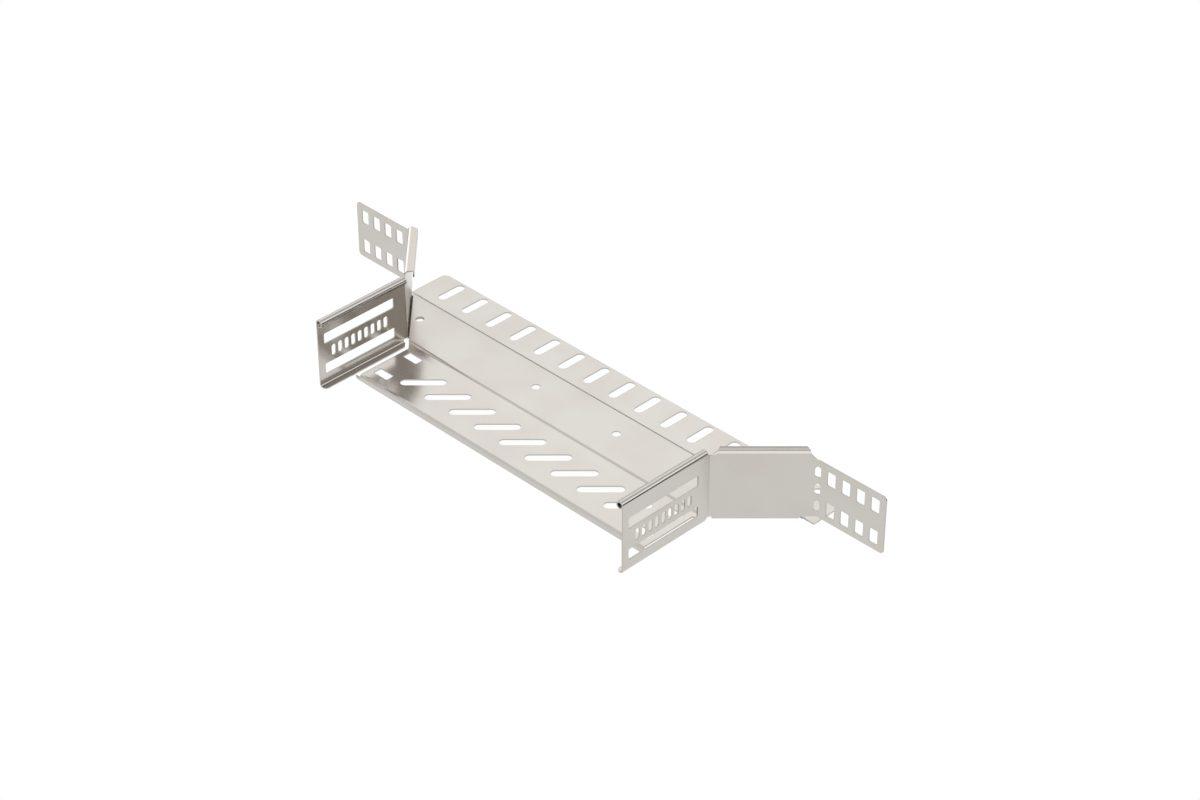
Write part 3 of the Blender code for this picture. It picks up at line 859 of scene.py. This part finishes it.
# %% Cold-rolled stainless steel
LINE_SPACING, LINE_LENGTH, CLOUD = 0.9, 45.0, 42.0  # in millimetres
LINE_RELIEF = 0.0012 * MM
ROUGHNESS_OF_LINES = {"i3": 0.185, "i4": 0.225}
ROUGHNESS_OF_CLOUDS = {"i3": -0.008, "i4": 0.012}
ROUGHNESS_OF_CUT = 0.10
MIDDLE_OF_NOISE = {"i1": 0.3, "i2": 0.7}
CLOUDS_THAT_DULL = {"i1": 0.35, "i2": 0.7}


def cold_rolled_stainless():
    """Roughness is that of the rolling lines, plus the clouds' share, plus that of the cut edges.

    The colour goes from steel to dull steel with the clouds, and to the cut edge's on the rim.
    """
    steel = bpy.data.materials.new("cold_rolled_stainless")
    steel.use_nodes = True
    tree = steel.node_tree
    surface = tree.nodes["Principled BSDF"]
    surface.inputs["Metallic"].default_value = 1.0
    blank = add(tree, "ShaderNodeUVMap", {"uv_map": "blank"}).outputs[0]
    in_mm = add(tree, "ShaderNodeVectorMath", {"operation": "SCALE"},
                i0=blank, Scale=1 / MM).outputs[0]
    stretch = (1 / LINE_LENGTH, 1 / LINE_SPACING, 1.0)
    along = add(tree, "ShaderNodeVectorMath", {"operation": "MULTIPLY"},
                i0=in_mm, i1=stretch).outputs[0]
    lines = add(tree, "ShaderNodeTexNoise", {"noise_dimensions": "2D"},
                Vector=along, Scale=1.0, Detail=3.0, Roughness=0.6).outputs["Fac"]
    clouds = add(tree, "ShaderNodeTexNoise", {"noise_dimensions": "2D"},
                 Vector=in_mm, Scale=1 / CLOUD, Detail=2.0, Roughness=0.5).outputs["Fac"]
    rim = add(tree, "ShaderNodeAttribute", {"attribute_name": "rim"}).outputs["Fac"]
    lined = add(tree, "ShaderNodeMapRange", i0=lines, **MIDDLE_OF_NOISE, **ROUGHNESS_OF_LINES)
    clouded = add(tree, "ShaderNodeMapRange", i0=clouds, **MIDDLE_OF_NOISE, **ROUGHNESS_OF_CLOUDS)
    rolled = add(tree, "ShaderNodeMath", {"operation": "ADD"},
                 i0=lined.outputs[0], i1=clouded.outputs[0]).outputs[0]
    rough = add(tree, "ShaderNodeMath", {"operation": "MULTIPLY_ADD"},
                i0=rim, i1=ROUGHNESS_OF_CUT, i2=rolled)
    tree.links.new(rough.outputs[0], surface.inputs["Roughness"])
    dull = add(tree, "ShaderNodeMapRange", i0=clouds, **CLOUDS_THAT_DULL).outputs[0]
    face = add(tree, "ShaderNodeMix", {"data_type": "RGBA"},
               i0=dull, i6=linear(STEEL), i7=linear(STEEL_DULL)).outputs[2]
    colour = add(tree, "ShaderNodeMix", {"data_type": "RGBA"}, i0=rim, i6=face, i7=linear(CUT_EDGE))
    tree.links.new(colour.outputs[2], surface.inputs["Base Color"])
    relief = add(tree, "ShaderNodeBump", Height=lines, Distance=LINE_RELIEF, Strength=0.5)
    tree.links.new(relief.outputs[0], surface.inputs["Normal"])
    return steel


steel = cold_rolled_stainless()
for piece in pieces.values():
    piece.data.materials.append(steel)
print("one coil of steel for", len(pieces), "sheets")

# %% [markdown]
# ## Camera
# The photograph looks down on the right front corner, as a drawing in equal perspective does: 45
# degrees round and 35 up. A long lens far away keeps the parallel edges nearly parallel.

# %% Place the camera
AZIMUTH, ELEVATION = 45.0, 35.264
DISTANCE = 2101.57 * MM
TARGET = Vector((-4.73, 50.73, -1.69)) * MM
SENSOR_WIDTH, LENS = 36.0, 90.69  # in millimetres, as Blender keeps them
NEAREST, FARTHEST = 0.05, 100.0


def towards(azimuth, elevation):
    """The unit vector at azimuth a, counted from the front towards +X, and elevation e.

    It is (sin a cos e, -cos a cos e, sin e).
    """
    azimuth, elevation = radians(azimuth), radians(elevation)
    return Vector((sin(azimuth) * cos(elevation), -cos(azimuth) * cos(elevation), sin(elevation)))


camera = bpy.data.objects.new("camera", bpy.data.cameras.new("camera"))
scene.collection.objects.link(camera)
camera.data.sensor_width = SENSOR_WIDTH
camera.data.lens = LENS
camera.data.clip_start, camera.data.clip_end = NEAREST, FARTHEST
camera.location = TARGET + towards(AZIMUTH, ELEVATION) * DISTANCE
camera.rotation_mode = "QUATERNION"
camera.rotation_quaternion = towards(AZIMUTH, ELEVATION).to_track_quat("Z", "Y")
scene.camera = camera
scene.view_settings.view_transform = "Standard"
print(f"the camera stands {DISTANCE:.2f} m away")

# %% [markdown]
# ## Light table
# The object lies on a white opal sheet that glows from below. Matt white card under lamps would
# take a shadow, and the photo has hardly any. The walls mirror the sheet, and are as pale as it is.
# It ends not far from the object, so that steel which mirrors the distance sees past it, down to
# the studio's lowest flag.

# %% Set the light table
TABLE_REACH = 0.40
TABLE_GAP = 0.2 * MM
OPAL_BASE = "#505050"
OPAL_GLOW = 0.95
WHITE = "#FFFFFF"
corners = [(x * TABLE_REACH, y * TABLE_REACH, -TABLE_GAP)
           for x, y in ((-1, -1), (1, -1), (1, 1), (-1, 1))]
table_mesh = bpy.data.meshes.new("light_table")
table_mesh.from_pydata(corners, [], [(0, 1, 2, 3)])
table = bpy.data.objects.new("light_table", table_mesh)
scene.collection.objects.link(table)
opal = bpy.data.materials.new("opal_acrylic")
opal.use_nodes = True
glow = opal.node_tree.nodes["Principled BSDF"]
glow.inputs["Base Color"].default_value = linear(OPAL_BASE)
glow.inputs["Roughness"].default_value = 1.0
glow.inputs["Specular IOR Level"].default_value = 0.0
glow.inputs["Emission Color"].default_value = linear(WHITE)
glow.inputs["Emission Strength"].default_value = OPAL_GLOW
table_mesh.materials.append(opal)
print(f"light table {2 * TABLE_REACH:.1f} m square")

# %% [markdown]
# ## Studio
# Area lamps would do for a matt thing. Bare steel shows its surroundings more than itself, so the
# light is a set of soft boxes and flags in a tent, drawn into the sky's own shader and seen as
# mirror images: the floor sheet mirrors the left rear, high up; the left wall mirrors the floor
# sheet, and through it the right rear. Each box or flag is a round patch of the sky: full inside
# one angle from its middle, gone outside another. What the steel mirrors once and what it mirrors
# twice are lit apart, because steel seen in steel is darker and warmer in the photo than one set of
# strengths makes it. The camera sees a plain white backdrop.

# %% Soft boxes and flags
TENT_ONCE, TENT_TWICE = 0.92, 0.29
WARM_WHITE = "#FFFBF5"
DEPTH_ONCE, DEPTH_TWICE = 2.0, 3.0  # the world's ray depth behind one mirror image and behind two

# name, middle, inner and outer angle in degrees, strength seen once and seen twice
PATCHES = (
    ("soft box, left rear", (-1, 1, 1), 22, 50, 1.33, 1.0),
    ("soft box, camera side", (1, -1, 1), 20, 55, 1.4, 1.4),
    ("flag, overhead", (-0.05, 0.20, 0.98), 20, 32, 0.70, 0.22),
    ("flag, low left rear", (-0.71, 0.68, 0.15), 15, 22, 0.60, 0.19),
    ("strip, left", (-0.92, 0.25, 0.25), 12, 20, 1.9, 0.61),
    ("strip, right rear", (0.635, 0.58, 0.515), 6, 10, 1.7, 0.80),
    ("flag, high right rear", (0.20, 0.58, 0.79), 7, 14, 0.55, 0.18),
    ("flag, low right rear", (0.81, 0.58, -0.15), 21, 26, 0.02, 0.02),
)


def studio():
    """Strength starts at the tent's and is mixed with each patch's own, by its soft-edged disc.

    With the share s of a patch, it goes from a to a (1 - s) + b s, once for each set.
    """
    world = bpy.data.worlds.new("studio")
    world.use_nodes = True
    tree = world.node_tree
    tree.nodes.clear()
    way = add(tree, "ShaderNodeTexCoord").outputs["Generated"]
    once, twice = TENT_ONCE, TENT_TWICE
    for _, middle, inner, outer, seen_once, seen_twice in PATCHES:
        facing = add(tree, "ShaderNodeVectorMath", {"operation": "DOT_PRODUCT"},
                     i0=way, i1=Vector(middle).normalized()).outputs["Value"]
        share = add(tree, "ShaderNodeMapRange", {"interpolation_type": "SMOOTHSTEP"},
                    i0=facing, i1=cos(radians(outer)), i2=cos(radians(inner))).outputs[0]
        once = add(tree, "ShaderNodeMix", i0=share, i2=once, i3=seen_once).outputs[0]
        twice = add(tree, "ShaderNodeMix", i0=share, i2=twice, i3=seen_twice).outputs[0]
    path = add(tree, "ShaderNodeLightPath").outputs
    again = add(tree, "ShaderNodeMapRange",
                i0=path["Ray Depth"], i1=DEPTH_ONCE, i2=DEPTH_TWICE).outputs[0]
    strength = add(tree, "ShaderNodeMix", i0=again, i2=once, i3=twice).outputs[0]
    tint = add(tree, "ShaderNodeMix", {"data_type": "RGBA"},
               i0=again, i6=linear(WHITE), i7=linear(WARM_WHITE)).outputs[2]
    lit = add(tree, "ShaderNodeBackground", Color=tint, Strength=strength).outputs[0]
    plain = add(tree, "ShaderNodeBackground", Color=linear(WHITE), Strength=1.0).outputs[0]
    sky = add(tree, "ShaderNodeMixShader", i0=path["Is Camera Ray"], i1=lit, i2=plain).outputs[0]
    add(tree, "ShaderNodeOutputWorld", Surface=sky)
    return world


scene.world = studio()
print("the tent holds", ", ".join(patch[0] for patch in PATCHES))
